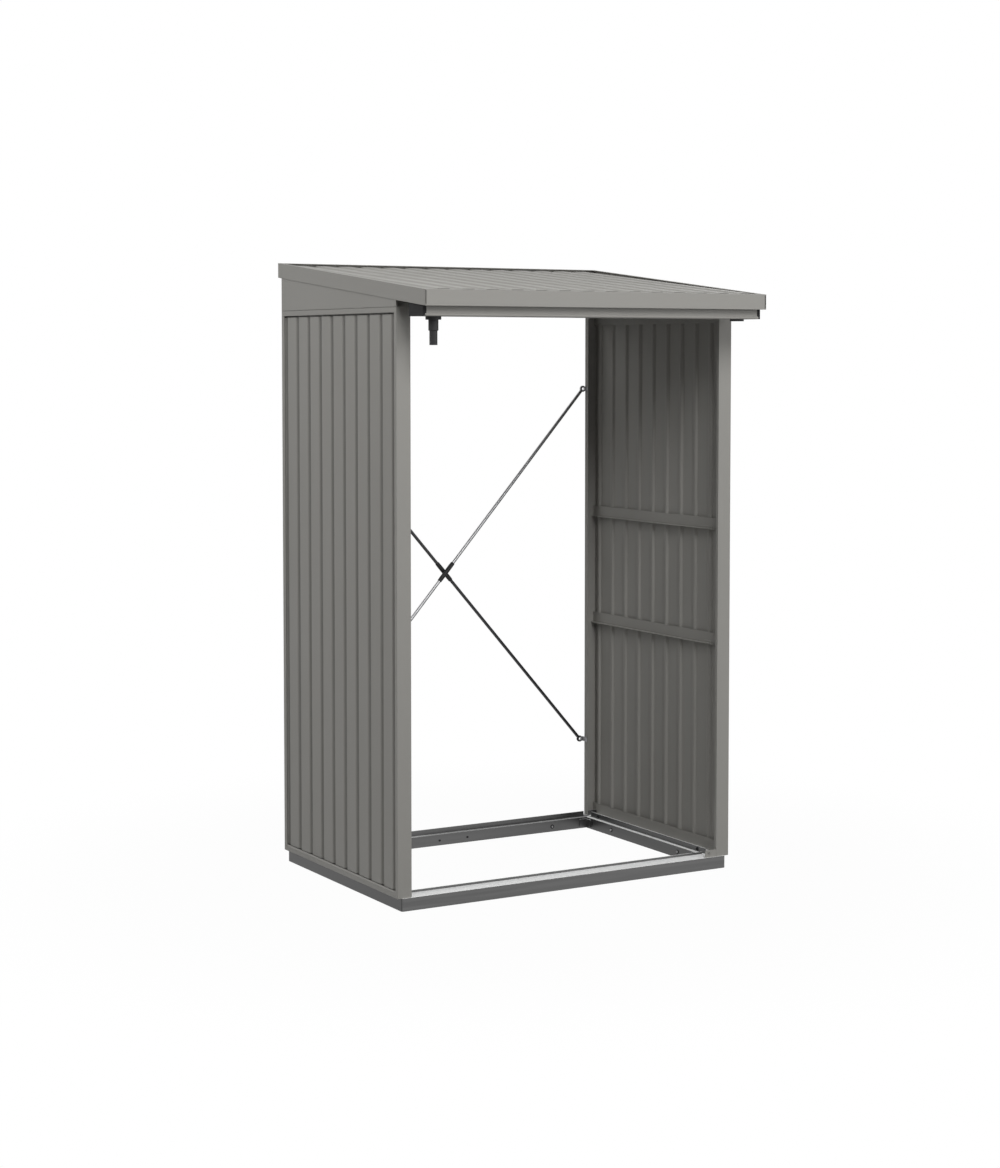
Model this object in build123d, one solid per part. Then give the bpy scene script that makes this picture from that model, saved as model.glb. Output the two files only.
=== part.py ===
from build123d import *
import math
import os

# Metal log store: two ribbed side walls on a floor frame, open at the front and the back,
# under a single pitch roof with a gutter, stiffened at the back by two crossed rods.
# Millimetres. X runs across, Y from front to back, Z up, with the origin on the ground
# under the middle of the roof.

# Roof, overall
roof_width = 1234
roof_depth = 1020
rear_height = 1990
roof_fall = 110
front_overhang = 182
rear_overhang = 22

# Folded sheet
sheet = 1.5

# Floor frame
beam_height = 40
front_beam_width = 62
side_beam_width = 54
rear_beam_width = 44
beam_wall = 3
inner_ledge_drop = 2
upstand_height = 16
upstand_thickness = 3
upstand_gap = 6
sill_upstand = 7
rear_ledge = 18
corner_leg = 30
corner_margin = 6
corner_thickness = 2.5
corner_chamfer = 5

# Side walls
wall_inset = 2
wall_overlap = 13
wall_setback = 3
wall_depth = 48
wall_top_drop = 49
front_outer_flange = 14.6
front_inner_flange = 12
rear_outer_flange = 20
rear_inner_flange = 20
bottom_outer_flange = 20.5
bottom_lip_height = 4
bottom_lip_lean = 3
bottom_inner_flange = 40
top_outer_flange = 16
top_inner_flange = 38

# Ribbed wall panel, its pressed field between flat margins at the foot and the head
panel_recess = 1
bottom_margin = 1.8
top_margin = 5
groove_pitch = 84.5
first_groove = 105.6
front_groove = 26
rear_groove = 30
groove_width = 26
groove_floor = 6
groove_land = 20
groove_depth = 7
groove_steps = 4

# Stiffening rails on the inside of the walls
rail_heights = [732, 1113]
rail_flange = 38
rail_leg = 12

# Gables and headers
gable_flange = 25
gable_joint = 1
header_flange = 40
header_setback = 36

# Roof sheet
rib_pitch = 84
rib_crest = 38
rib_foot = 54
rib_edge = 25
rib_depth = 4.5
crest_rise = 2
crest_drop = 6
drip_gap = 2

# Roof trims
trim_height = 48
trim_lip = 14
corner_seam = 3.5

# Gutter
gutter_setback = 24
gutter_depth = 88
gutter_drop = 78
gutter_wall = 46
gutter_hem = 8
gutter_flange = 25
gutter_end_gap = 6
cap_thickness = 12
outlet_inset = 59
outlet_bore = 20

# Outlet spout and blanking plug
spout_flange_diameter = 47
spout_flange_height = 10
spout_body_diameter = 30
spout_body_height = 33
spout_chamfer = 2
pipe_diameter = 24
pipe_length = 42
plug_diameter = 45
plug_height = 6.5
plug_stem = 8
plug_clearance = 0.3

# Crossed rods at the back
brace_rise = 312
brace_top_drop = 263
brace_standoff = 12
brace_offset = 6
brace_spacing = 16
rod_diameter = 11
eye_diameter = 22
eye_hole = 10
eye_thickness = 5
eye_overlap = 3
tab_thickness = 2.5
tab_foot = 22
sleeve_diameter = 15.4
sleeve_length = 80
sleeve_waist = 14
sleeve_tip_wall = 1.5
sleeve_clearance = 0.2

# Cuts run past the faces by this much
overrun = 5

# Places worked out from the sizes above
roof_front = -roof_depth / 2
roof_rear = roof_depth / 2
front_height = rear_height - roof_fall
slope = roof_fall / roof_depth
sheet_slope = (roof_fall - crest_rise - crest_drop) / roof_depth
slope_stretch = math.hypot(1, sheet_slope)
floor_front = roof_front + front_overhang
floor_rear = roof_rear - rear_overhang
wall_outer = roof_width / 2 - wall_inset
wall_inner = wall_outer - wall_depth
wall_front = floor_front + wall_setback
wall_rear = floor_rear
wall_top = front_height - wall_top_drop
floor_side = wall_outer - wall_overlap
gutter_front = roof_front + gutter_setback
gutter_rear = gutter_front + gutter_depth
gutter_bottom = front_height - gutter_drop
gutter_end = roof_width / 2 - gutter_end_gap
outlet_x = gutter_end - outlet_inset
outlet_y = gutter_front + gutter_depth / 2


def trim_top(y):
    # top edge of the roof trims
    return front_height + slope * (y - roof_front)


def pan_top(y):
    # upper side of the roof sheet between its ribs, which fall less than the trims
    return front_height + crest_rise - rib_depth + sheet_slope * (y - roof_front)


def pan_under(y):
    # lower side of the roof sheet between its ribs
    return pan_top(y) - sheet


def folded(points, thickness=sheet):
    # closed outline of a strip of sheet that lies on the left of an open run of points
    normals = []
    for (ax, ay), (bx, by) in zip(points, points[1:]):
        length = math.hypot(bx - ax, by - ay)
        normals.append(((ay - by) / length, (bx - ax) / length))
    inner = []
    for index, (px, py) in enumerate(points):
        before = normals[max(index - 1, 0)]
        after = normals[min(index, len(normals) - 1)]
        reach = thickness / (1 + before[0] * after[0] + before[1] * after[1])
        inner.append((px + reach * (before[0] + after[0]), py + reach * (before[1] + after[1])))
    return points + inner[::-1]


def along_x(points, start, end):
    # points are (y, z)
    plane = Plane(origin=(start, 0, 0), x_dir=(0, 1, 0), z_dir=(1, 0, 0))
    return extrude(plane * make_face(Polyline(*points, close=True)), amount=end - start)


def along_y(points, start, end, rise=0):
    # points are (x, z), carried up by the rise for each millimetre towards the back
    plane = Plane(origin=(0, start, 0), x_dir=(1, 0, 0), z_dir=(0, -1, 0))
    face = plane * make_face(Polyline(*points, close=True))
    return extrude(face, amount=(end - start) * math.hypot(1, rise), dir=(0, 1, rise))


def along_z(points, start, end):
    # points are (x, y)
    face = make_face(Polyline(*points, close=True))
    return extrude(Pos(0, 0, start) * face, amount=end - start)


def mirrored(shape):
    return mirror(shape, about=Plane.YZ)


def write(shape, name):
    os.makedirs("parts", exist_ok=True)
    export_step(shape, f"parts/{name}.step")


# Floor frame: four hollow beams, mitred at the corners

def beam_outline(width, ledge):
    # across a side or rear beam, from its outer face inwards, without its upstand
    inner_top = beam_height - inner_ledge_drop
    return [
        (0, 0),
        (width, 0),
        (width, inner_top),
        (width - ledge, inner_top),
        (width - ledge, beam_height),
        (0, beam_height),
    ]


def upstand_outline(width, ledge):
    outer = width - ledge - upstand_thickness
    top = beam_height + upstand_height
    return [(outer, beam_height), (width - ledge, beam_height), (width - ledge, top), (outer, top)]


def front_outline():
    # the front beam has its low upstand on its inner edge, behind a wide sill
    upstand_top = beam_height + sill_upstand
    return [
        (0, 0),
        (front_beam_width, 0),
        (front_beam_width, upstand_top),
        (front_beam_width - upstand_thickness, upstand_top),
        (front_beam_width - upstand_thickness, beam_height),
        (0, beam_height),
    ]


def cavity_outline(width):
    top = beam_height - inner_ledge_drop - beam_wall
    return [(beam_wall, beam_wall), (width - beam_wall, beam_wall), (width - beam_wall, top), (beam_wall, top)]


side_ledge = side_beam_width - (floor_side - wall_inner) - upstand_thickness
inner_x = floor_side - side_beam_width
inner_front = floor_front + front_beam_width
inner_rear = floor_rear - rear_beam_width
mitre_top = beam_height + upstand_height + overrun


def mitre(corners):
    return along_z(corners, -overrun, mitre_top)


def placed(outline, origin, inward):
    return [(origin + inward * distance, height) for distance, height in outline]


def chamfer_points(corner_y, towards, beam_width):
    # the right outer corner's chamfer: its end on the cross beam, its middle on the mitre,
    # and its end on the side beam
    share = corner_chamfer / (side_beam_width + beam_width)
    return [
        (floor_side - corner_chamfer, corner_y),
        (floor_side - share * side_beam_width, corner_y + towards * share * beam_width),
        (floor_side, corner_y + towards * corner_chamfer),
    ]


def both_sides(points):
    # the points, followed back on the left by their mirror images
    return points + [(-x, y) for x, y in points[::-1]]


front_chamfer = chamfer_points(floor_front, 1, front_beam_width)
rear_chamfer = chamfer_points(floor_rear, -1, rear_beam_width)

front_section = placed(front_outline(), floor_front, 1)
front_cavity = placed(cavity_outline(front_beam_width), floor_front, 1)
front_beam = along_x(front_section, -floor_side, floor_side) - along_x(front_cavity, -floor_side, floor_side)
front_beam &= mitre(both_sides(front_chamfer[:2] + [(inner_x, inner_front)]))

rear_section = placed(beam_outline(rear_beam_width, rear_ledge), floor_rear, -1)
rear_cavity = placed(cavity_outline(rear_beam_width), floor_rear, -1)
rear_upstand = placed(upstand_outline(rear_beam_width, rear_ledge), floor_rear, -1)
rear_beam = along_x(rear_section, -floor_side, floor_side) - along_x(rear_cavity, -floor_side, floor_side)
rear_beam &= mitre(both_sides(rear_chamfer[:2] + [(inner_x, inner_rear)]))
rear_beam += along_x(rear_upstand, -inner_x, inner_x)
for side in (-1, 1):
    rear_beam += along_x(rear_upstand, side * wall_inner, side * floor_side)

side_section = placed(beam_outline(side_beam_width, side_ledge), floor_side, -1)
side_cavity = placed(cavity_outline(side_beam_width), floor_side, -1)
side_upstand = placed(upstand_outline(side_beam_width, side_ledge), floor_side, -1)
right_beam = along_y(side_section, floor_front, floor_rear) - along_y(side_cavity, floor_front, floor_rear)
right_beam &= mitre(front_chamfer[1:] + rear_chamfer[2:0:-1] + [(inner_x, inner_rear), (inner_x, inner_front)])
right_beam += along_y(side_upstand, inner_front, inner_rear - upstand_gap)

write(front_beam, "floor_front_beam")
write(rear_beam, "floor_rear_beam")
write(right_beam, "floor_right_beam")
write(mirrored(right_beam), "floor_left_beam")


def corner_angle(corner_y, towards):
    # angle plate inside a corner of the floor frame
    arms = [
        (inner_x - corner_leg, corner_y),
        (inner_x, corner_y),
        (inner_x, corner_y + towards * corner_leg),
    ]
    outline = folded(arms if towards > 0 else arms[::-1], corner_thickness)
    return along_z(outline, corner_margin, beam_height - inner_ledge_drop - corner_margin)


for corner_name, corner_y, towards in (("front", inner_front, 1), ("rear", inner_rear, -1)):
    angle = corner_angle(corner_y, towards)
    write(angle, f"floor_{corner_name}_right_corner")
    write(mirrored(angle), f"floor_{corner_name}_left_corner")


# Side walls: a folded frame round a ribbed panel, modelled on the right and mirrored

front_post = along_z(
    folded([
        (wall_inner, wall_front + front_inner_flange),
        (wall_inner, wall_front),
        (wall_outer, wall_front),
        (wall_outer, wall_front + front_outer_flange),
    ]),
    beam_height,
    wall_top,
)

rear_post = along_z(
    folded([
        (wall_outer, wall_rear - rear_outer_flange),
        (wall_outer, wall_rear),
        (wall_inner, wall_rear),
        (wall_inner, wall_rear - rear_inner_flange),
    ]),
    beam_height,
    wall_top,
)

panel_face = wall_outer - sheet - panel_recess
ridge_face = panel_face - groove_depth
rail_back = ridge_face - sheet
rail_inner = rail_back - sheet

bottom_rail = along_y(
    folded([
        (rail_inner, beam_height + bottom_inner_flange),
        (rail_inner, beam_height),
        (wall_outer, beam_height),
        (wall_outer, beam_height + bottom_outer_flange - bottom_lip_height),
        (wall_outer - bottom_lip_lean, beam_height + bottom_outer_flange),
    ]),
    wall_front,
    wall_rear,
) - front_post - rear_post

top_rail = along_y(
    folded([
        (wall_outer, wall_top - top_outer_flange),
        (wall_outer, wall_top),
        (rail_inner, wall_top),
        (rail_inner, wall_top - top_inner_flange),
    ]),
    wall_front,
    wall_rear,
) - front_post - rear_post

# the panel: a field pressed outwards between rounded grooves, the outermost beside the posts
margin_front = wall_front + sheet
margin_rear = wall_rear - sheet
press_low = beam_height + bottom_outer_flange + bottom_margin
press_high = wall_top - top_outer_flange - top_margin
groove_start = wall_front + first_groove
groove_end = wall_rear - rear_groove
# the last groove of the row leaves at least a land before the one beside the rear post
groove_count = int((groove_end - groove_width - groove_land - groove_start) / groove_pitch) + 1
groove_centres = [groove_start + number * groove_pitch for number in range(groove_count)]
groove_side = (groove_width - groove_floor) / 2

panel_run = [(panel_face, margin_front)]
for centre in [wall_front + front_groove] + groove_centres + [groove_end]:
    flank = []
    for step in range(groove_steps + 1):
        share = step / groove_steps
        depth = groove_depth * (1 - math.cos(math.pi * share)) / 2
        flank.append((panel_face - depth, groove_width / 2 - share * groove_side))
    panel_run += [(x, centre - reach) for x, reach in flank]
    panel_run += [(x, centre + reach) for x, reach in flank[::-1]]
panel_run.append((panel_face, margin_rear))
margin = [
    (ridge_face, margin_front),
    (ridge_face, margin_rear),
    (rail_back, margin_rear),
    (rail_back, margin_front),
]
field_end = panel_run + margin[2:]

panel = along_z(folded(panel_run), press_low, press_high)
panel += along_z(field_end, press_low, press_low + sheet)
panel += along_z(field_end, press_high - sheet, press_high)
panel += along_z(margin, beam_height + sheet, press_low)
panel += along_z(margin, press_high, wall_top - sheet)


def stiffener(height):
    # angle rail between the posts, its flange against the ridges of the panel
    outline = folded([(rail_back - rail_leg, height), (rail_back, height), (rail_back, height + rail_flange)])
    return along_y(outline, margin_front, margin_rear)


def gable_piece(front, rear, low, high, width, inset=0):
    # flat strip of the gable tray, between two lines that may follow the roof
    outline = [(front, low(front)), (rear, low(rear)), (rear, high(rear)), (front, high(front))]
    return along_x(outline, wall_outer - width, wall_outer - inset)


def gable_low(y):
    return wall_top


def gable_skin_low(y):
    # the outer skin stops short of the wall and leaves a joint line
    return wall_top + gable_joint


def gable_foot_top(y):
    return wall_top + sheet


def gable_head_low(y):
    return pan_under(y) - sheet


gable = gable_piece(wall_front, wall_rear, gable_skin_low, pan_under, sheet)
gable += gable_piece(wall_front, wall_rear, gable_low, gable_foot_top, gable_flange, gable_joint)
gable += gable_piece(wall_front, wall_rear, gable_head_low, pan_under, gable_flange)
gable += gable_piece(wall_rear - sheet, wall_rear, gable_low, pan_under, gable_flange, gable_joint)

wall_pieces = {
    "front_post": front_post,
    "rear_post": rear_post,
    "bottom_rail": bottom_rail,
    "top_rail": top_rail,
    "ribbed_panel": panel,
    "gable_panel": gable,
    "lower_stiffener": stiffener(rail_heights[0]),
    "upper_stiffener": stiffener(rail_heights[1]),
}
for piece_name, piece in wall_pieces.items():
    write(piece, f"right_{piece_name}")
    write(mirrored(piece), f"left_{piece_name}")


# Headers across the front and the back, between the gables

header_end = wall_outer - gable_flange

header_front = wall_front + header_setback

front_header = along_x(
    folded([
        (header_front + header_flange, pan_under(header_front + header_flange)),
        (header_front, pan_under(header_front)),
        (header_front, wall_top),
        (header_front + header_flange, wall_top),
    ]),
    -header_end,
    header_end,
)
rear_header = along_x(
    folded([
        (wall_rear - header_flange, wall_top),
        (wall_rear, wall_top),
        (wall_rear, pan_under(wall_rear)),
        (wall_rear - header_flange, pan_under(wall_rear - header_flange)),
    ]),
    -header_end,
    header_end,
)
write(front_header, "front_header")
write(rear_header, "rear_header")


# Roof sheet: ribs run from front to back, and the pan between them carries the sheet

sheet_front = roof_front + trim_lip + drip_gap
sheet_rear = roof_rear - sheet
sheet_edge = roof_width / 2 - sheet
pan_level = pan_top(sheet_front)

rib_count = int((roof_width - 2 * rib_edge) / rib_pitch)
roof_run = [(sheet_edge, pan_level)]
for number in range(rib_count):
    centre = ((rib_count - 1) / 2 - number) * rib_pitch
    roof_run += [
        (centre + rib_foot / 2, pan_level),
        (centre + rib_crest / 2, pan_level + rib_depth),
        (centre - rib_crest / 2, pan_level + rib_depth),
        (centre - rib_foot / 2, pan_level),
    ]
roof_run.append((-sheet_edge, pan_level))
write(along_y(folded(roof_run), sheet_front, sheet_rear, sheet_slope), "roof_sheet")


# Roof trims: folded caps along the four edges, mitred at the corners

trim_side = roof_width / 2
trim_inner = trim_side - trim_lip
trim_bottom = front_height - trim_height - overrun
trim_ceiling = rear_height + overrun


def trim_mitre(corners):
    return along_z(corners, trim_bottom, trim_ceiling)


right_trim = along_y(
    folded([
        (wall_outer, front_height - trim_height),
        (trim_side, front_height - trim_height),
        (trim_side, front_height),
        (trim_inner, front_height),
    ]),
    roof_front,
    roof_rear,
    slope,
)
right_trim &= trim_mitre([
    (trim_side, roof_front),
    (trim_side, roof_rear),
    (trim_inner, roof_rear - trim_lip),
    (trim_inner, roof_front + trim_lip),
])
write(right_trim, "roof_right_trim")
write(mirrored(right_trim), "roof_left_trim")


def edge_trim(edge, towards):
    # cap along the front or the back, open under its upper lip, with a seam by each side trim
    inner = edge + towards * trim_lip
    bottom = trim_top(edge) - trim_height
    outline = folded(
        [
            (inner, bottom),
            (edge, bottom),
            (edge, trim_top(edge)),
            (inner, trim_top(inner)),
        ],
        -towards * sheet,
    )
    cap = along_x(outline, -trim_side, trim_side)
    seam = [
        (edge - overrun, bottom + 2 * sheet),
        (edge + overrun, bottom + 2 * sheet),
        (edge + overrun, bottom + trim_height - 2 * sheet),
        (edge - overrun, bottom + trim_height - 2 * sheet),
    ]
    seam_side = trim_side - sheet
    for side in (-1, 1):
        cap -= along_x(seam, side * (seam_side - corner_seam), side * seam_side)
    return cap & trim_mitre([
        (-trim_side, edge),
        (trim_side, edge),
        (trim_inner, inner),
        (-trim_inner, inner),
    ])


write(edge_trim(roof_front, 1), "roof_front_fascia")
write(edge_trim(roof_rear, -1), "roof_rear_trim")


# Gutter under the front overhang, hung from the roof sheet

flange_drop = sheet * slope_stretch
gutter_top = gutter_bottom + gutter_wall
trough_end = gutter_end - cap_thickness

trough = along_x(
    folded([
        (gutter_front + gutter_hem, gutter_top),
        (gutter_front, gutter_top),
        (gutter_front, gutter_bottom),
        (gutter_rear, gutter_bottom),
        (gutter_rear, pan_under(gutter_rear) - flange_drop),
        (gutter_rear + gutter_flange, pan_under(gutter_rear + gutter_flange) - flange_drop),
    ]),
    -trough_end,
    trough_end,
)
for hole_x in (-outlet_x, outlet_x):
    trough -= Pos(hole_x, outlet_y, gutter_bottom) * Cylinder(outlet_bore / 2, 2 * (sheet + overrun))
write(trough, "gutter_trough")

end_cap = along_x(
    [
        (gutter_front, gutter_bottom),
        (gutter_rear, gutter_bottom),
        (gutter_rear, gutter_top),
        (gutter_front, gutter_top),
    ],
    trough_end,
    gutter_end,
)
write(end_cap, "gutter_right_cap")
write(mirrored(end_cap), "gutter_left_cap")


def turned(points, x, y):
    # points are (radius, z)
    face = Plane.XZ * make_face(Polyline(*points, close=True))
    return Pos(x, y, 0) * revolve(face, axis=Axis.Z)


flange_low = gutter_bottom - spout_flange_height
body_low = flange_low - spout_body_height
pipe_low = body_low - pipe_length
spout = turned(
    [
        (outlet_bore / 2, gutter_bottom),
        (spout_flange_diameter / 2, gutter_bottom),
        (spout_flange_diameter / 2, flange_low),
        (spout_body_diameter / 2, flange_low),
        (spout_body_diameter / 2, body_low + spout_chamfer),
        (spout_body_diameter / 2 - spout_chamfer, body_low),
        (pipe_diameter / 2, body_low),
        (pipe_diameter / 2, pipe_low),
        (outlet_bore / 2, pipe_low),
    ],
    -outlet_x,
    outlet_y,
)
write(spout, "gutter_spout")

stem_radius = outlet_bore / 2 - plug_clearance
plug = turned(
    [
        (0, gutter_bottom - plug_height),
        (plug_diameter / 2, gutter_bottom - plug_height),
        (plug_diameter / 2, gutter_bottom),
        (stem_radius, gutter_bottom),
        (stem_radius, gutter_bottom + plug_stem),
        (0, gutter_bottom + plug_stem),
    ],
    outlet_x,
    outlet_y,
)
write(plug, "gutter_plug")


# Crossed rods at the back, each with an eye at its ends and a sleeve at the crossing

brace_x = wall_inner - brace_standoff
brace_low = brace_rise
brace_high = wall_top - brace_top_drop
rear_plane = wall_rear + brace_offset + brace_spacing / 2
front_plane = rear_plane - brace_spacing
tab_front = wall_rear - tab_foot
tab_width = eye_diameter - 2 * eye_overlap
brace_middle = (brace_low + brace_high) / 2
brace_length = math.hypot(2 * brace_x, brace_high - brace_low)
brace_angle = math.degrees(math.atan2(brace_high - brace_low, 2 * brace_x))


def brace_place(plane_y, towards):
    return Pos(0, plane_y, brace_middle) * Rot(0, -towards * brace_angle, 0)


def brace_rod():
    straight = brace_length - eye_diameter + 2 * eye_overlap
    rod = Rot(0, 90, 0) * Cylinder(rod_diameter / 2, straight)
    for end in (-brace_length / 2, brace_length / 2):
        rod += Pos(end, 0, 0) * Rot(90, 0, 0) * Cylinder(eye_diameter / 2, eye_thickness)
        rod -= Pos(end, 0, 0) * Rot(90, 0, 0) * Cylinder(eye_hole / 2, eye_thickness + overrun)
    return rod


def brace_sleeve():
    bore = rod_diameter / 2 + sleeve_clearance
    tip = bore + sleeve_tip_wall
    half = sleeve_length / 2
    face = make_face(Polyline(
        (-half, bore),
        (half, bore),
        (half, tip),
        (half - sleeve_waist, sleeve_diameter / 2),
        (sleeve_waist - half, sleeve_diameter / 2),
        (-half, tip),
        close=True,
    ))
    return revolve(face, axis=Axis.X)


def brace_tab(height, plane_y):
    # angle on the rear post, its round ended leg against the front of a rod's eye
    near = plane_y - eye_thickness / 2
    middle = near - tab_thickness / 2
    leg = Pos((brace_x + wall_inner) / 2, middle, height) * Box(brace_standoff, tab_thickness, tab_width)
    foot_x = wall_inner - tab_thickness / 2
    foot = Pos(foot_x, (tab_front + near) / 2, height) * Box(tab_thickness, near - tab_front, tab_width)
    eye_centre = Pos(brace_x, middle, height) * Rot(90, 0, 0)
    tab = leg + foot + eye_centre * Cylinder(tab_width / 2, tab_thickness)
    return tab - eye_centre * Cylinder(eye_hole / 2, tab_thickness + overrun)


for brace_name, plane_y, towards in (("rising", front_plane, 1), ("falling", rear_plane, -1)):
    place = brace_place(plane_y, towards)
    write(place * brace_rod(), f"brace_{brace_name}_rod")
    write(place * brace_sleeve(), f"brace_{brace_name}_sleeve")

write(brace_tab(brace_high, front_plane), "brace_upper_right_tab")
write(mirrored(brace_tab(brace_low, front_plane)), "brace_lower_left_tab")
write(brace_tab(brace_low, rear_plane), "brace_lower_right_tab")
write(mirrored(brace_tab(brace_high, rear_plane)), "brace_upper_left_tab")
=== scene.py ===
import bpy
import bmesh
import math
from mathutils import Matrix, Vector


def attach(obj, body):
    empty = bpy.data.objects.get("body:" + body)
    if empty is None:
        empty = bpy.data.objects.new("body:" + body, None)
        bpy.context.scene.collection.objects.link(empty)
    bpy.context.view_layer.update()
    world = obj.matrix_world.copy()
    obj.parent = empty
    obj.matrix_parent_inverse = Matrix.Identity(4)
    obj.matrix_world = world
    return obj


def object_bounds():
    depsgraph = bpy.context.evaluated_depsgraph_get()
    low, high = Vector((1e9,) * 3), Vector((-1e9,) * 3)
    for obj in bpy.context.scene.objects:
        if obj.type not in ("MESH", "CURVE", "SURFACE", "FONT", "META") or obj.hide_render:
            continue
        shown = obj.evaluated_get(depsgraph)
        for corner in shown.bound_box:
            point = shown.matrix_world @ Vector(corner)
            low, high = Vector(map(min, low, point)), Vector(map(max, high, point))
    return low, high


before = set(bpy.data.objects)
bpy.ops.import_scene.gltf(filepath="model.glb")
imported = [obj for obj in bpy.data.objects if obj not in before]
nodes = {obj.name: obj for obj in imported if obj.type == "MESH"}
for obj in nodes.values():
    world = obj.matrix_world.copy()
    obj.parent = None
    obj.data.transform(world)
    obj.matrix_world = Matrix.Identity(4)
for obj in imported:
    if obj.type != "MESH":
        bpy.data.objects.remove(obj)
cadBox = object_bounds()
print("frame loaded:", len(nodes), "nodes")

scene = bpy.context.scene
scene.view_settings.view_transform = "Standard"


# camera, standing to the left of the front, a little under the roof

cameraView = {
    "place": (-3.7860, -6.3979, 1.6872),
    "turn": 30.1669,    # degrees to the right of straight ahead
    "tilt": 3.4137,     # degrees down
    "focalShare": 2285.3 / 1168,    # focal length over the picture's long side
    "sensor": 36.0,
    "shiftUp": -0.0792,     # keeps the uprights nearly upright
}


def makeCamera(spec):
    data = bpy.data.cameras.new("storeCamera")
    data.sensor_width = spec["sensor"]
    data.lens = spec["focalShare"] * spec["sensor"]
    data.shift_y = spec["shiftUp"]
    camera = bpy.data.objects.new("storeCamera", data)
    camera.location = spec["place"]
    camera.rotation_euler = (math.radians(90 - spec["tilt"]), 0, math.radians(-spec["turn"]))
    scene.collection.objects.link(camera)
    scene.camera = camera


makeCamera(cameraView)
print("camera placed")


# node helpers, shared by the stage and all finishes

def newNode(tree, kind, **inputs):
    node = tree.nodes.new(kind)
    for key, value in inputs.items():
        node.inputs[key.replace("_", " ")].default_value = value
    return node


def mathNode(tree, operation, first, second):
    node = tree.nodes.new("ShaderNodeMath")
    node.operation = operation
    for socket, value in zip(node.inputs, (first, second)):
        if isinstance(value, (int, float)):
            socket.default_value = value
        else:
            tree.links.new(value, socket)
    return node.outputs[0]


def axes(tree, vector):
    node = tree.nodes.new("ShaderNodeSeparateXYZ")
    tree.links.new(vector, node.inputs[0])
    return node.outputs


def seenDirectly(tree):
    # 1 for what the camera, a reflection or a see-through surface looks at
    path = tree.nodes.new("ShaderNodeLightPath")
    nearest = mathNode(tree, "MAXIMUM", path.outputs["Is Camera Ray"], path.outputs["Is Glossy Ray"])
    return mathNode(tree, "MAXIMUM", nearest, path.outputs["Is Transmission Ray"])


# stage: white ground and sky, soft lamps

stage = {
    "floorReach": 30.0,
    "floorDrop": 0.0005,            # keeps the ground clear of the store's underside
    "floorColour": (0.42, 0.42, 0.42, 1),
    "whiteShare": (0.975, 1.0),     # under the store and far from it, the rest is the floor's own shading
    "whiteReach": (0.9, 2.2),       # metres from the middle over which the first grows into the second
    "shownColour": (1.0, 1.0, 1.0, 1),
    "skyColour": (1.0, 1.0, 1.0, 1),
    "skyStrength": 0.025,
    "lampSize": 3.0,
    "lampAim": (0, 0, 1.0),
    "lamps": {      # place and power
        "frontLamp": ((-0.96, -4.5, 4.86), 204),
        "rightLamp": ((2.93, -5.08, 2.25), 80),
        "leftLamp": ((-4.73, 0, 4.69), 110),
        "leftRearLamp": ((-3.86, 3.48, 4.0), 36),
        "rightRearLamp": ((4.5, 2.6, 4.0), 50),
    },
}


def makeSky(spec):
    world = bpy.data.worlds.new("whiteSky")
    world.use_nodes = True
    tree = world.node_tree
    tree.nodes.clear()
    shown = newNode(tree, "ShaderNodeBackground", Color=spec["shownColour"], Strength=1.0)
    light = newNode(tree, "ShaderNodeBackground", Color=spec["skyColour"], Strength=spec["skyStrength"])
    mix = tree.nodes.new("ShaderNodeMixShader")
    out = tree.nodes.new("ShaderNodeOutputWorld")
    tree.links.new(seenDirectly(tree), mix.inputs[0])
    tree.links.new(light.outputs[0], mix.inputs[1])
    tree.links.new(shown.outputs[0], mix.inputs[2])
    tree.links.new(mix.outputs[0], out.inputs[0])
    scene.world = world


def makeFloor(spec):
    material = bpy.data.materials.new("whiteFloor")
    material.use_nodes = True
    tree = material.node_tree
    tree.nodes.clear()
    shaded = newNode(tree, "ShaderNodeBsdfDiffuse", Color=spec["floorColour"])
    shown = newNode(tree, "ShaderNodeEmission", Color=spec["shownColour"], Strength=1.0)
    mix = tree.nodes.new("ShaderNodeMixShader")
    out = tree.nodes.new("ShaderNodeOutputMaterial")
    place = tree.nodes.new("ShaderNodeTexCoord")
    away = tree.nodes.new("ShaderNodeVectorMath")
    away.operation = "LENGTH"
    tree.links.new(place.outputs["Object"], away.inputs[0])
    near, far = spec["whiteReach"]
    under, beyond = spec["whiteShare"]
    fade = newNode(tree, "ShaderNodeMapRange", From_Min=near, From_Max=far, To_Min=under, To_Max=beyond)
    fade.interpolation_type = "SMOOTHSTEP"
    tree.links.new(away.outputs["Value"], fade.inputs["Value"])
    white = mathNode(tree, "MULTIPLY", seenDirectly(tree), fade.outputs["Result"])
    tree.links.new(white, mix.inputs[0])
    tree.links.new(shaded.outputs[0], mix.inputs[1])
    tree.links.new(shown.outputs[0], mix.inputs[2])
    tree.links.new(mix.outputs[0], out.inputs[0])
    reach = spec["floorReach"]
    corners = [(-reach, -reach, 0), (reach, -reach, 0), (reach, reach, 0), (-reach, reach, 0)]
    mesh = bpy.data.meshes.new("floor")
    mesh.from_pydata(corners, [], [(0, 1, 2, 3)])
    mesh.materials.append(material)
    floor = bpy.data.objects.new("floor", mesh)
    floor.location.z = cadBox[0].z - spec["floorDrop"]
    scene.collection.objects.link(floor)


def makeLamp(name, place, power, spec):
    data = bpy.data.lights.new(name, "AREA")
    data.shape = "DISK"
    data.size = spec["lampSize"]
    data.energy = power
    lamp = bpy.data.objects.new(name, data)
    lamp.location = place
    lamp.rotation_euler = (Vector(spec["lampAim"]) - Vector(place)).to_track_quat("-Z", "Y").to_euler()
    scene.collection.objects.link(lamp)


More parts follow.
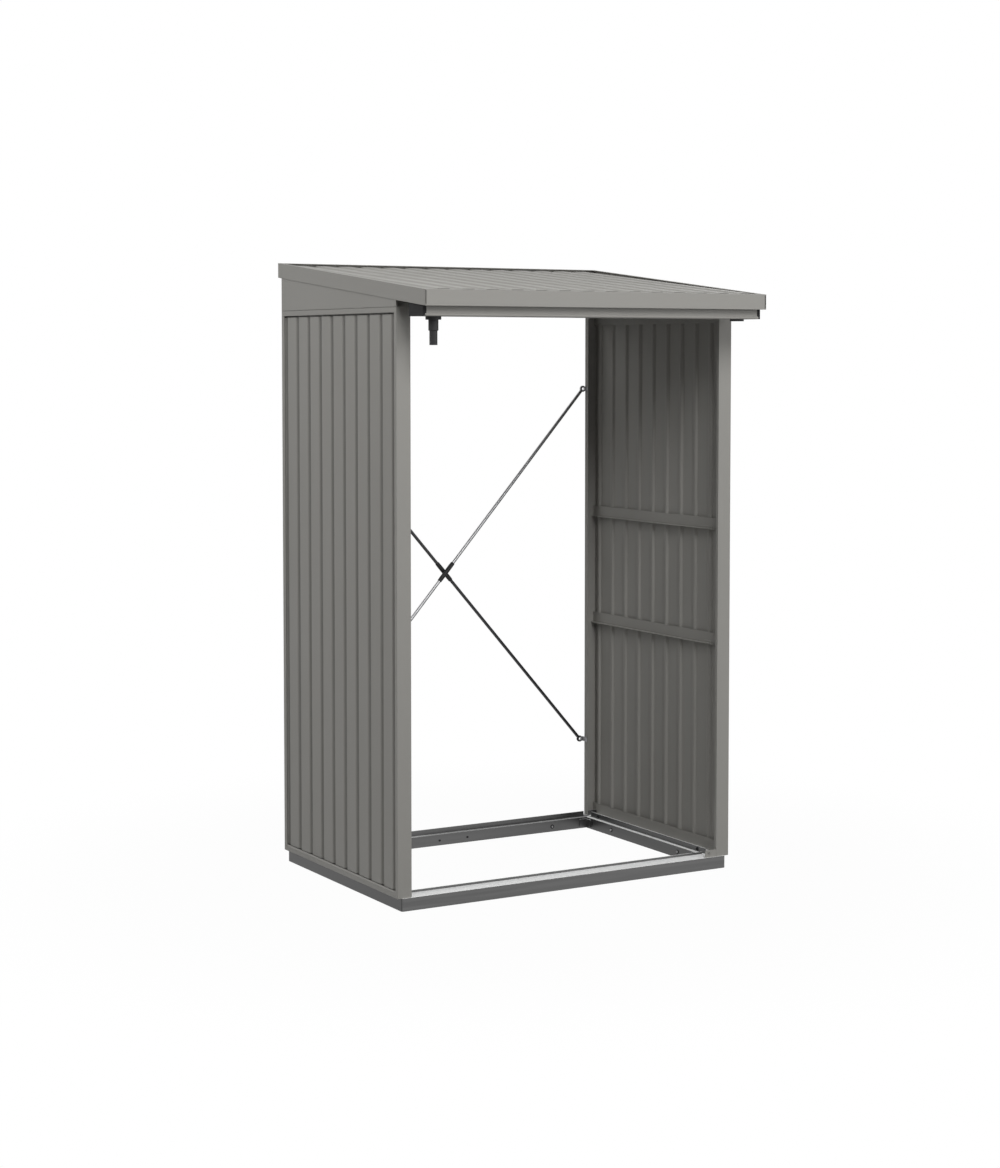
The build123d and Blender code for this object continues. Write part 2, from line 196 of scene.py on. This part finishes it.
makeSky(stage)
makeFloor(stage)
for lampName, (lampPlace, lampPower) in stage["lamps"].items():
    makeLamp(lampName, lampPlace, lampPower, stage)
print("stage lit")


# finishes

noiseSpan = (0.3, 0.7)      # most of a noise's values lie between these
# black, towards which painted shade is blended
shadeBlack = (0, 0, 0, 1)


def newFinish(name):
    material = bpy.data.materials.new(name)
    material.use_nodes = True
    tree = material.node_tree
    shader = tree.nodes["Principled BSDF"]
    return material, tree, shader


def objectPlace(tree, stretch=(1, 1, 1)):
    place = tree.nodes.new("ShaderNodeTexCoord")
    mapping = tree.nodes.new("ShaderNodeMapping")
    mapping.inputs["Scale"].default_value = stretch
    tree.links.new(place.outputs["Object"], mapping.inputs["Vector"])
    return mapping.outputs["Vector"]


def noise(tree, place, scale, detail, roughness=0.5):
    node = newNode(tree, "ShaderNodeTexNoise", Scale=scale, Detail=detail, Roughness=roughness)
    tree.links.new(place, node.inputs["Vector"])
    return node.outputs["Fac"]


def spread(tree, value, low, high):
    # stretches a noise's values to reach from low to high
    start, end = noiseSpan
    node = newNode(tree, "ShaderNodeMapRange", From_Min=start, From_Max=end, To_Min=low, To_Max=high)
    tree.links.new(value, node.inputs["Value"])
    return node.outputs["Result"]


def blendColours(tree, share, first, second):
    node = tree.nodes.new("ShaderNodeMix")
    node.data_type = "RGBA"
    # the mix node's colour sockets share their names with others, so they go by number
    for socket, value in ((node.inputs[6], first), (node.inputs[7], second)):
        if isinstance(value, tuple):
            socket.default_value = value
        else:
            tree.links.new(value, socket)
    tree.links.new(share, node.inputs[0])
    return node.outputs[2]


def toneBlend(tree, share, colour, low, high):
    # between a darker and a lighter shade of one colour
    dark, light = (tuple(min(1, tone * part) for part in colour) + (1,) for tone in (low, high))
    return blendColours(tree, spread(tree, share, 0, 1), dark, light)


def bump(tree, shader, height, distance, strength, edge=0.0):
    # edge is the radius that softens folds and arrises
    node = newNode(tree, "ShaderNodeBump", Strength=strength, Distance=distance)
    tree.links.new(height, node.inputs["Height"])
    if edge:
        soft = newNode(tree, "ShaderNodeBevel", Radius=edge)
        tree.links.new(soft.outputs["Normal"], node.inputs["Normal"])
    tree.links.new(node.outputs["Normal"], shader.inputs["Normal"])


paint = {
    "colour": (0.305, 0.298, 0.279),
    "tone": 0.03,           # how far the cloudy tone goes to each side
    "cloudScale": 2.6, "cloudDetail": 3, "cloudShare": 0.7,
    "speckScale": 900.0, "speckDetail": 1, "speckShare": 0.3,
    "roughness": (0.50, 0.60),
    "peelScale": 420.0, "peelDetail": 2,    # orange peel of the baked paint
    "peelDepth": 0.00012, "peelStrength": 0.35,
    "gloss": 0.30,
    "foldRadius": 0.0016,
    "ribRadius": 0.005,
    "panelFace": 0.6125,    # outer face of the ribbed panels, metres from the middle
    "grooveDepth": 0.007,
    "grooveShadeFade": (0.05, 0.6),      # shares of the depth between which the painted shade deepens
    "grooveShadeTone": 0.74,     # painted shade in the grooves' bottoms
}


def paintedGrooveShade(tree, spec):
    # painted shade on the outer side of a ribbed panel, darker towards the bottoms of its grooves
    place = tree.nodes.new("ShaderNodeTexCoord")
    facing = tree.nodes.new("ShaderNodeNewGeometry")
    across = axes(tree, place.outputs["Object"])["X"]
    outward = axes(tree, facing.outputs["True Normal"])["X"]
    sunk = mathNode(tree, "SUBTRACT", spec["panelFace"], mathNode(tree, "ABSOLUTE", across, 0))
    outside = mathNode(tree, "GREATER_THAN", mathNode(tree, "MULTIPLY", across, outward), 0)
    start, end = (share * spec["grooveDepth"] for share in spec["grooveShadeFade"])
    fall = newNode(tree, "ShaderNodeMapRange", From_Min=start, From_Max=end)
    tree.links.new(sunk, fall.inputs["Value"])
    grooveShadeShare = mathNode(tree, "MULTIPLY", fall.outputs["Result"], outside)
    grooveShadeLoss = mathNode(tree, "MULTIPLY", grooveShadeShare, 1 - spec["grooveShadeTone"])
    return mathNode(tree, "SUBTRACT", 1.0, grooveShadeLoss)


def satinPaint(name, spec, grooved=False):
    material, tree, shader = newFinish(name)
    place = objectPlace(tree)
    clouds = noise(tree, place, spec["cloudScale"], spec["cloudDetail"])
    specks = noise(tree, place, spec["speckScale"], spec["speckDetail"])
    cloudPart = mathNode(tree, "MULTIPLY", clouds, spec["cloudShare"])
    speckPart = mathNode(tree, "MULTIPLY", specks, spec["speckShare"])
    mottle = mathNode(tree, "ADD", cloudPart, speckPart)
    colour = toneBlend(tree, mottle, spec["colour"], 1 - spec["tone"], 1 + spec["tone"])
    # grooved panels get painted shade in their grooves
    if grooved:
        colour = blendColours(tree, paintedGrooveShade(tree, spec), shadeBlack, colour)
    tree.links.new(colour, shader.inputs["Base Color"])
    tree.links.new(spread(tree, clouds, *spec["roughness"]), shader.inputs["Roughness"])
    shader.inputs["Specular IOR Level"].default_value = spec["gloss"]
    peel = noise(tree, place, spec["peelScale"], spec["peelDetail"])
    radius = spec["ribRadius"] if grooved else spec["foldRadius"]
    bump(tree, shader, peel, spec["peelDepth"], spec["peelStrength"], radius)
    return material


mill = {
    # painted highlight on the ledges and painted shade on the upright faces, chosen by which way a face
    # turns
    "litTopColour": (0.95, 0.96, 0.96),
    "shadedSideColour": (0.125, 0.125, 0.125),
    "sideShade": 0.72,       # painted shade: the side beams' upright faces are darker
    "leftShade": 0.56,       # painted shade, the left beam darkest of all
    "upwardSpan": (0.35, 0.85),     # upward part of the normal, from upright face to ledge
    "metal": (1.0, 0.5),    # upright faces mirror, ledges are rough
    "roughness": (0.30, 0.40),
    "ledgeRoughness": 0.75,
    "rearLedgeShade": 0.5,       # painted shade: the rear beam's ledge is darker towards the right
    "rearLedgeShadeFrom": (-0.27, -0.07),
    "streakTone": {"litTopColour": 0.05, "shadedSideColour": 0.12},
    "streakScale": 70.0, "streakDetail": 4, "streakRoughness": 0.6,
    "streakStretch": 0.02,  # the die lines run along each beam
    "lineDepth": 0.00003, "lineStrength": 0.3,
}


def millAluminium(name, spec, along, rear=False):
    material, tree, shader = newFinish(name)
    stretch = [1, 1, 1]
    stretch["XYZ".index(along)] = spec["streakStretch"]
    place = objectPlace(tree, stretch)
    streaks = noise(tree, place, spec["streakScale"], spec["streakDetail"], spec["streakRoughness"])
    facing = tree.nodes.new("ShaderNodeNewGeometry")
    upright, level = spec["upwardSpan"]
    turned = newNode(tree, "ShaderNodeMapRange", From_Min=upright, From_Max=level)
    tree.links.new(axes(tree, facing.outputs["True Normal"])["Z"], turned.inputs["Value"])
    upward = turned.outputs["Result"]
    shades = {}
    for part in ("litTopColour", "shadedSideColour"):
        # painted shade: the side beams' upright faces are darkened
        dull = spec["sideShade"] if part == "shadedSideColour" and along == "Y" else 1.0
        swing = spec["streakTone"][part]
        shades[part] = toneBlend(tree, streaks, spec[part], (1 - swing) * dull, (1 + swing) * dull)
    # painted shade: the rear ledge darkens towards the right
    if rear:
        where = tree.nodes.new("ShaderNodeTexCoord")
        left, right = spec["rearLedgeShadeFrom"]
        fade = newNode(
            tree, "ShaderNodeMapRange",
            From_Min=left, From_Max=right, To_Min=1.0, To_Max=spec["rearLedgeShade"],
        )
        tree.links.new(axes(tree, where.outputs["Object"])["X"], fade.inputs["Value"])
        shades["litTopColour"] = blendColours(tree, fade.outputs["Result"], shadeBlack, shades["litTopColour"])
    # blends the ledges' painted highlight with the upright faces' painted shade
    colour = blendColours(tree, upward, shades["shadedSideColour"], shades["litTopColour"])
    tree.links.new(colour, shader.inputs["Base Color"])
    sideRough = spread(tree, streaks, *spec["roughness"])
    fullRise = mathNode(tree, "SUBTRACT", spec["ledgeRoughness"], sideRough)
    rise = mathNode(tree, "MULTIPLY", upward, fullRise)
    tree.links.new(mathNode(tree, "ADD", sideRough, rise), shader.inputs["Roughness"])
    uprightMetal, ledgeMetal = spec["metal"]
    metal = newNode(tree, "ShaderNodeMapRange", To_Min=uprightMetal, To_Max=ledgeMetal)
    tree.links.new(upward, metal.inputs["Value"])
    tree.links.new(metal.outputs["Result"], shader.inputs["Metallic"])
    bump(tree, shader, streaks, spec["lineDepth"], spec["lineStrength"])
    return material


moulding = {
    "colour": (0.022, 0.022, 0.023),
    "tones": (0.85, 1.2),
    "cloudScale": 40, "cloudDetail": 2,
    "roughness": (0.42, 0.58),
    "grainScale": 900.0, "grainDetail": 2, "grainDepth": 0.00008, "grainStrength": 0.4,
    "gloss": 0.24,
    "rubberGloss": 0.06,
}


def blackMoulding(name, spec, gloss):
    material, tree, shader = newFinish(name)
    place = objectPlace(tree)
    grain = noise(tree, place, spec["grainScale"], spec["grainDetail"])
    clouds = noise(tree, place, spec["cloudScale"], spec["cloudDetail"])
    tree.links.new(toneBlend(tree, clouds, spec["colour"], *spec["tones"]), shader.inputs["Base Color"])
    tree.links.new(spread(tree, clouds, *spec["roughness"]), shader.inputs["Roughness"])
    shader.inputs["Specular IOR Level"].default_value = gloss
    bump(tree, shader, grain, spec["grainDepth"], spec["grainStrength"])
    return material


zinc = {
    "dull": (0.30, 0.30, 0.305),
    # painted shade: a darker copy of the zinc for the falling brace
    "dark": (0.05, 0.05, 0.052),
    "tones": (0.8, 1.15),
    "spangleScale": 420.0, "spangleShare": 0.6, "spangleRise": 0.2,
    "roughness": (0.28, 0.42),
    "grainDepth": 0.00006, "grainStrength": 0.2,
}


def zincSteel(name, spec, shade):
    material, tree, shader = newFinish(name)
    spangle = newNode(tree, "ShaderNodeTexVoronoi", Scale=spec["spangleScale"])
    tree.links.new(objectPlace(tree), spangle.inputs["Vector"])
    cells = spangle.outputs["Distance"]
    spanglePart = mathNode(tree, "MULTIPLY", cells, spec["spangleShare"])
    mottle = mathNode(tree, "ADD", spanglePart, spec["spangleRise"])
    tree.links.new(toneBlend(tree, mottle, spec[shade], *spec["tones"]), shader.inputs["Base Color"])
    tree.links.new(spread(tree, mottle, *spec["roughness"]), shader.inputs["Roughness"])
    shader.inputs["Metallic"].default_value = 1.0
    bump(tree, shader, cells, spec["grainDepth"], spec["grainStrength"])
    return material


finishes = {
    "wallPaintShadedGrooves": satinPaint("wallPaintShadedGrooves", paint, grooved=True),
    "framePaint": satinPaint("framePaint", paint),
    "roofPaint": satinPaint("roofPaint", paint),
    "millAcross": millAluminium("millAcross", mill, "X"),
    "millAlong": millAluminium("millAlong", mill, "Y"),
    # painted shade: a darker copy for the left beam
    "millLeftShaded": millAluminium("millLeftShaded", {**mill, "sideShade": mill["leftShade"]}, "Y"),
    "millUpright": millAluminium("millUpright", mill, "Z"),
    "millRearShaded": millAluminium("millRearShaded", mill, "X", rear=True),
    "blackMoulding": blackMoulding("blackMoulding", moulding, moulding["gloss"]),
    "blackRubber": blackMoulding("blackRubber", moulding, moulding["rubberGloss"]),
    "dullZinc": zincSteel("dullZinc", zinc, "dull"),
    "shadedZinc": zincSteel("shadedZinc", zinc, "dark"),
    "blackSleeve": blackMoulding("blackSleeve", moulding, moulding["gloss"]),
}


def finishOf(name):
    if name.startswith("floor_"):
        if name.endswith("corner"):
            return "millUpright"
        if "rear" in name:
            return "millRearShaded"
        if "front" in name:
            return "millAcross"
        return "millLeftShaded" if "left" in name else "millAlong"
    if name.startswith("gutter_") and name.endswith("cap"):
        return "blackRubber"
    if name in ("gutter_spout", "gutter_plug"):
        return "blackMoulding"
    if name.startswith("brace_"):
        if "sleeve" in name:
            return "blackSleeve"
        # the falling brace gets the darker zinc, a painted shade
        return "shadedZinc" if "falling" in name else "dullZinc"
    if name.startswith("roof_") or name == "gutter_trough":
        return "roofPaint"
    return "wallPaintShadedGrooves" if "panel" in name else "framePaint"


for nodeName, node in nodes.items():
    node.data.materials.clear()
    node.data.materials.append(finishes[finishOf(nodeName)])
print("finishes set on", len(nodes), "nodes")


# small fittings, all in millimetres from the store's origin

perMetre = 1000
smoothAngle = 35    # degrees, sharper edges stay sharp


def placeAt(spot, facing, roll=0.0):
    # turns a piece drawn on the ground, facing up, to face another way
    turn = Vector(facing).to_track_quat("Z", "Y").to_matrix().to_4x4()
    return Matrix.Translation(Vector(spot) / perMetre) @ turn @ Matrix.Rotation(math.radians(roll), 4, "Z")


def skinRings(mesh, place, rings):
    # joins each ring of (x, y, z) points to the next
    made = [[mesh.verts.new(place @ Vector(point)) for point in ring] for ring in rings]
    for lower, upper in zip(made, made[1:]):
        for index in range(len(lower)):
            after = (index + 1) % len(lower)
            mesh.faces.new((lower[index], lower[after], upper[after], upper[index]))
    return made


def closeRing(mesh, ring, tip):
    # closes a ring by a point in its middle
    for index in range(len(ring)):
        mesh.faces.new((ring[index], ring[(index + 1) % len(ring)], tip))


screwHead = {
    "around": 48,
    "washerEdge": (0.6, 0.96),      # shares of the rim's height and of the washer's radius
    "neck": 1.4,                    # top of the head's upright edge over the rim's height
    "domeRise": (0.1, 0.9),         # at the head's edge, and gained towards its middle
    "shoulders": (0.97, 0.92, 0.85, 0.78),
    "lip": 1.04, "lipDrop": 0.1,    # rounding at the recess, shares of its reach and depth
    "recessFloor": 0.8,
    "leastSine": 1e-6,
}


def addScrew(mesh, place, spec, shape=screwHead):
    # domed head with a cross recess, on a thin washer
    angles = [2 * math.pi * index / shape["around"] for index in range(shape["around"])]
    radius, height, washer, rim = (spec[key] / perMetre for key in ("radius", "height", "washer", "rim"))
    arm, half, depth = (spec[key] / perMetre for key in ("crossArm", "crossHalf", "crossDepth"))
    edgeRise, domeGain = shape["domeRise"]
    washerTop, washerIn = shape["washerEdge"]

    def circle(reach, level):
        return [(reach * math.cos(angle), reach * math.sin(angle), level) for angle in angles]

    def crossEdge(angle):
        # how far the recess reaches in this direction
        turn = (angle + math.pi / 4) % (math.pi / 2) - math.pi / 4
        return min(arm / math.cos(turn), half / max(abs(math.sin(turn)), shape["leastSine"]))

    def dome(reach):
        return rim + (height - rim) * math.sqrt(max(0, 1 - (reach / radius) ** 2) * domeGain + edgeRise)

    def recess(share, levelAt):
        reaches = [share * crossEdge(angle) for angle in angles]
        return [
            (reach * math.cos(angle), reach * math.sin(angle), levelAt(reach))
            for reach, angle in zip(reaches, angles)
        ]

    recessTop = dome(arm) - shape["lipDrop"] * depth
    recessLow = height - depth
    rings = [circle(washer, 0), circle(washer, rim * washerTop), circle(washer * washerIn, rim)]
    rings += [circle(radius, rim), circle(radius, rim * shape["neck"])]
    rings += [circle(radius * share, dome(radius * share)) for share in shape["shoulders"]]
    rings += [recess(shape["lip"], dome), recess(1.0, lambda reach: recessTop)]
    rings.append(recess(shape["recessFloor"], lambda reach: recessLow))
    made = skinRings(mesh, place, rings)
    closeRing(mesh, made[-1], mesh.verts.new(place @ Vector((0, 0, recessLow))))


def addPlate(mesh, place, outline, spec):
    # flat plate drawn as a closed outline of (x, y), with a small arris on its upper edge
    top, arris = spec["thick"] / perMetre, spec["arris"] / perMetre
    low = [(x / perMetre, y / perMetre, 0) for x, y in outline]
    middle = Vector((sum(x for x, y, z in low) / len(low), sum(y for x, y, z in low) / len(low), 0))

    def inset(level, by):
        ring = []
        for point in low:
            away = Vector(point) - middle
            ring.append((*(middle + away * (1 - by / away.length)).xy, level))
        return ring

    made = skinRings(mesh, place, [low, inset(top - arris, 0), inset(top, arris)])
    mesh.faces.new(made[-1])
    mesh.faces.new(made[0][::-1])


def capsule(length, width, steps=8):
    # outline of a slot, along x
    points = []
    for side, start in ((1, -90), (-1, 90)):
        for step in range(steps + 1):
            angle = math.radians(start + 180 * step / steps)
            across = side * (length - width) / 2 + width / 2 * math.cos(angle)
            points.append((across, width / 2 * math.sin(angle)))
    return points


def oblong(width, height, corner, steps=4):
    # outline of a plate with rounded corners
    points = []
    for x, y, start in ((1, 1, 0), (-1, 1, 90), (-1, -1, 180), (1, -1, 270)):
        for step in range(steps + 1):
            angle = math.radians(start + 90 * step / steps)
            across = x * (width / 2 - corner) + corner * math.cos(angle)
            points.append((across, y * (height / 2 - corner) + corner * math.sin(angle)))
    return points


def finishPiece(name, mesh, finish):
    mesh.normal_update()
    data = bpy.data.meshes.new(name)
    mesh.to_mesh(data)
    mesh.free()
    data.materials.append(finishes[finish])
    for face in data.polygons:
        face.use_smooth = True
    data.set_sharp_from_angle(angle=math.radians(smoothAngle))
    piece = bpy.data.objects.new(name, data)
    scene.collection.objects.link(piece)
    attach(piece, "root")


# screws of the floor frame, each on a black rubber seal whose black is also painted shade around the head
beamScrews = {
    "radius": 4.0, "height": 4.6, "washer": 4.4, "rim": 1.4,
    "crossArm": 2.4, "crossHalf": 0.65, "crossDepth": 1.8,
    "sideFace": 548.0, "sideSpots": [(281.0, 20.5), (-128.0, 20.5)], "sideRoll": 20,    # (y, z)
    "rearFace": 444.0, "rearSpots": [(-405.0, 18.0), (405.0, 18.0)], "rearRoll": 35,    # (x, z)
    "frontFace": -266.0, "frontSpots": [(-405.0, 18.0), (405.0, 18.0)], "frontRoll": 10,
}
beamSealShade = {"across": 14.0, "steps": 16, "thick": 1.2, "arris": 0.4}
screwSpots = [
    ((side * beamScrews["sideFace"], y, z), (-side, 0, 0), beamScrews["sideRoll"])
    for side in (-1, 1) for y, z in beamScrews["sideSpots"]
]
for end, inward in (("rear", -1), ("front", 1)):
    screwSpots += [
        ((x, beamScrews[end + "Face"], z), (0, inward, 0), beamScrews[end + "Roll"])
        for x, z in beamScrews[end + "Spots"]
    ]
screws = bmesh.new()
sealShades = bmesh.new()
sealShape = capsule(beamSealShade["across"], beamSealShade["across"], beamSealShade["steps"])
for spot, facing, roll in screwSpots:
    addScrew(screws, placeAt(spot, facing, roll), beamScrews)
    addPlate(sealShades, placeAt(spot, facing), sealShape, beamSealShade)
finishPiece("beamScrews", screws, "dullZinc")
finishPiece("beamSealShades", sealShades, "blackRubber")

upstandScrews = {
    "radius": 5.4, "height": 4.2, "washer": 6.4, "rim": 1.2,
    "crossArm": 2.9, "crossHalf": 0.75, "crossDepth": 2.0,
    "face": 564.0, "spots": [(390.0, 46.5), (-221.0, 46.5)], "roll": 45,
}
caps = bmesh.new()
for side in (-1, 1):
    for y, z in upstandScrews["spots"]:
        spot = (side * upstandScrews["face"], y, z)
        addScrew(caps, placeAt(spot, (-side, 0, 0), upstandScrews["roll"]), upstandScrews)
finishPiece("upstandScrews", caps, "blackRubber")

# black plates on the beams' inner faces, painted shade standing for the dark inside of holes and slots
beamHoleShades = {
    "rearFace": 444.0, "rearSpots": [(-50.0, 17.0), (60.0, 17.5)],
    "sideFace": 548.0, "sideSpots": [(405.0, 21.0), (-240.0, 21.0)],
    "length": 9.0, "width": 7.0, "slotLength": 13.0, "slotWidth": 5.0, "thick": 0.4, "arris": 0.2,
}
holeShadeMesh = bmesh.new()
holeShape = capsule(beamHoleShades["length"], beamHoleShades["width"])
for x, z in beamHoleShades["rearSpots"]:
    addPlate(holeShadeMesh, placeAt((x, beamHoleShades["rearFace"], z), (0, -1, 0)), holeShape, beamHoleShades)
slotShape = capsule(beamHoleShades["slotLength"], beamHoleShades["slotWidth"])
for side in (-1, 1):
    for y, z in beamHoleShades["sideSpots"]:
        spot = (side * beamHoleShades["sideFace"], y, z)
        addPlate(holeShadeMesh, placeAt(spot, (-side, 0, 0), 90), slotShape, beamHoleShades)
finishPiece("beamHoleShades", holeShadeMesh, "blackRubber")

# angles that hold the stiffening rails to the front posts
railClips = {
    "legTops": [733.5, 1114.5], "flange": 602.5, "middle": -218.0,
    "length": 40.0, "width": 9.0, "rise": 9.0, "corner": 2.0, "thick": 1.2, "arris": 0.4,
}
clips = bmesh.new()
clipBase = oblong(railClips["length"], railClips["width"], railClips["corner"])
clipBack = oblong(railClips["length"], railClips["rise"], railClips["corner"])
for side in (-1, 1):
    for level in railClips["legTops"]:
        flange = side * railClips["flange"]
        base = (flange - side * railClips["width"] / 2, railClips["middle"], level)
        addPlate(clips, placeAt(base, (0, 0, 1), 90), clipBase, railClips)
        back = (flange, railClips["middle"], level + railClips["rise"] / 2)
        addPlate(clips, placeAt(back, (-side, 0, 0)), clipBack, railClips)
finishPiece("railClips", clips, "framePaint")

# bracket at the foot of the right front post
footBracket = {
    "spot": (545.0, -323.5, 52.0),
    "width": 44.0, "height": 24.0, "corner": 3.0, "thick": 1.5, "arris": 0.4,
}
bracket = bmesh.new()
bracketShape = oblong(footBracket["width"], footBracket["height"], footBracket["corner"])
addPlate(bracket, placeAt(footBracket["spot"], (0, -1, 0)), bracketShape, footBracket)
finishPiece("footBracket", bracket, "framePaint")

bracketScrew = {
    "spot": (538.0, -325.0, 56.0), "roll": 25,
    "radius": 4.6, "height": 3.0, "washer": 6.0, "rim": 0.8,
    "crossArm": 2.6, "crossHalf": 0.7, "crossDepth": 1.6,
}
bracketHead = bmesh.new()
addScrew(bracketHead, placeAt(bracketScrew["spot"], (0, -1, 0), bracketScrew["roll"]), bracketScrew)
finishPiece("bracketScrew", bracketHead, "framePaint")

# tabs behind the seams at the roof's corners
cornerTabs = {
    "x": 610.0, "frontSpot": (-503.5, 1856.5), "rearSpot": (507.2, 1966.5),     # (y, z)
    "width": 10.0, "height": 42.0, "corner": 2.0, "thick": 1.2, "arris": 0.3,
}
tabs = bmesh.new()
tabShape = oblong(cornerTabs["width"], cornerTabs["height"], cornerTabs["corner"])
for side in (-1, 1):
    for spotName, outward in (("frontSpot", -1), ("rearSpot", 1)):
        tabPlace = placeAt((side * cornerTabs["x"],) + cornerTabs[spotName], (0, outward, 0))
        addPlate(tabs, tabPlace, tabShape, cornerTabs)
finishPiece("cornerTabs", tabs, "roofPaint")

# rolled edge along the front of the gutter's bottom
gutterBead = {
    "radius": 4.5, "reach": 604.0, "y": -484.0, "z": 1806.2, "around": 24,
    "ends": [(0.0, 0.35), (0.4, 0.75), (1.4, 1.0)],     # distance from the end and share of the radius there
}
beadStops = [(gutterBead["reach"] - inward, share) for inward, share in gutterBead["ends"]]
beadStops = [(-x, share) for x, share in beadStops] + beadStops[::-1]
beadTurns = [2 * math.pi * index / gutterBead["around"] for index in range(gutterBead["around"])]
beadRings = []
for x, share in beadStops:
    radius = share * gutterBead["radius"]
    ring = [
        (x, gutterBead["y"] + radius * math.cos(turn), gutterBead["z"] + radius * math.sin(turn))
        for turn in beadTurns
    ]
    beadRings.append([[value / perMetre for value in point] for point in ring])
bead = bmesh.new()
beadMade = skinRings(bead, Matrix.Identity(4), beadRings)
beadTip = [gutterBead[key] / perMetre for key in ("reach", "y", "z")]
closeRing(bead, beadMade[-1], bead.verts.new(beadTip))
bead.faces.new(beadMade[0])
bmesh.ops.recalc_face_normals(bead, faces=bead.faces[:])
finishPiece("gutterBead", bead, "roofPaint")
print("fittings made")
